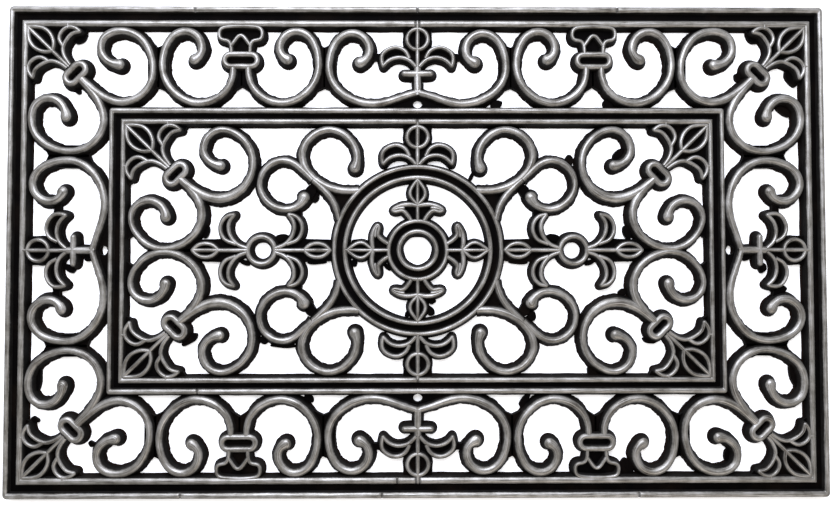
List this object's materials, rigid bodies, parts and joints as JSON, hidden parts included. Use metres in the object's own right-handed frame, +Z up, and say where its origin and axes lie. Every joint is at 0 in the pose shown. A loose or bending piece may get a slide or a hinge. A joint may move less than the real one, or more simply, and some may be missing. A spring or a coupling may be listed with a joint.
{
  "type": "doormat",
  "caption": "Low openwork scroll doormat of moulded rubber with a pewter-coloured finish, for scraping shoes at a door.",
  "frame": {"origin": "middle of the underside, on the floor", "axes": "+X along the long side, +Y across, +Z up out of the floor"},
  "size_m": [0.762, 0.4572, 0.01],
  "materials": {
    "pewter_rubber": "matt black rubber with a pewter-coloured finish rubbed on the raised beads"
  },
  "bodies": {
    "root": {"outer_frame": "pewter_rubber", "inner_frame": "pewter_rubber", "medallion_ring": "pewter_rubber", "hub_rosette": "pewter_rubber", "border_palmette_nw": "pewter_rubber", "border_palmette_ne": "pewter_rubber", "border_palmette_sw": "pewter_rubber", "border_palmette_se": "pewter_rubber", "border_corner_scrolls_nw": "pewter_rubber", "border_corner_scrolls_ne": "pewter_rubber", "border_corner_scrolls_sw": "pewter_rubber", "border_corner_scrolls_se": "pewter_rubber", "clasp_nw": "pewter_rubber", "clasp_ne": "pewter_rubber", "clasp_sw": "pewter_rubber", "clasp_se": "pewter_rubber", "clasp_scroll_outer_nw": "pewter_rubber", "clasp_scroll_outer_ne": "pewter_rubber", "clasp_scroll_outer_sw": "pewter_rubber", "clasp_scroll_outer_se": "pewter_rubber", "clasp_scroll_inner_nw": "pewter_rubber", "clasp_scroll_inner_ne": "pewter_rubber", "clasp_scroll_inner_sw": "pewter_rubber", "clasp_scroll_inner_se": "pewter_rubber", "panel_palmette_nw": "pewter_rubber", "panel_palmette_ne": "pewter_rubber", "panel_palmette_sw": "pewter_rubber", "panel_palmette_se": "pewter_rubber", "panel_scrolls_nw": "pewter_rubber", "panel_scrolls_ne": "pewter_rubber", "panel_scrolls_sw": "pewter_rubber", "panel_scrolls_se": "pewter_rubber", "big_curl_nw": "pewter_rubber", "big_curl_ne": "pewter_rubber", "big_curl_sw": "pewter_rubber", "big_curl_se": "pewter_rubber", "small_curl_nw": "pewter_rubber", "small_curl_ne": "pewter_rubber", "small_curl_sw": "pewter_rubber", "small_curl_se": "pewter_rubber", "fleur_north": "pewter_rubber", "fleur_south": "pewter_rubber", "fleur_west": "pewter_rubber", "fleur_east": "pewter_rubber", "fleur_scrolls_north": "pewter_rubber", "fleur_scrolls_south": "pewter_rubber", "fleur_scrolls_west": "pewter_rubber", "fleur_scrolls_east": "pewter_rubber", "medallion_fleur_north": "pewter_rubber", "medallion_fleur_south": "pewter_rubber", "roundel_west": "pewter_rubber", "roundel_east": "pewter_rubber"}
  },
  "joints": []
}
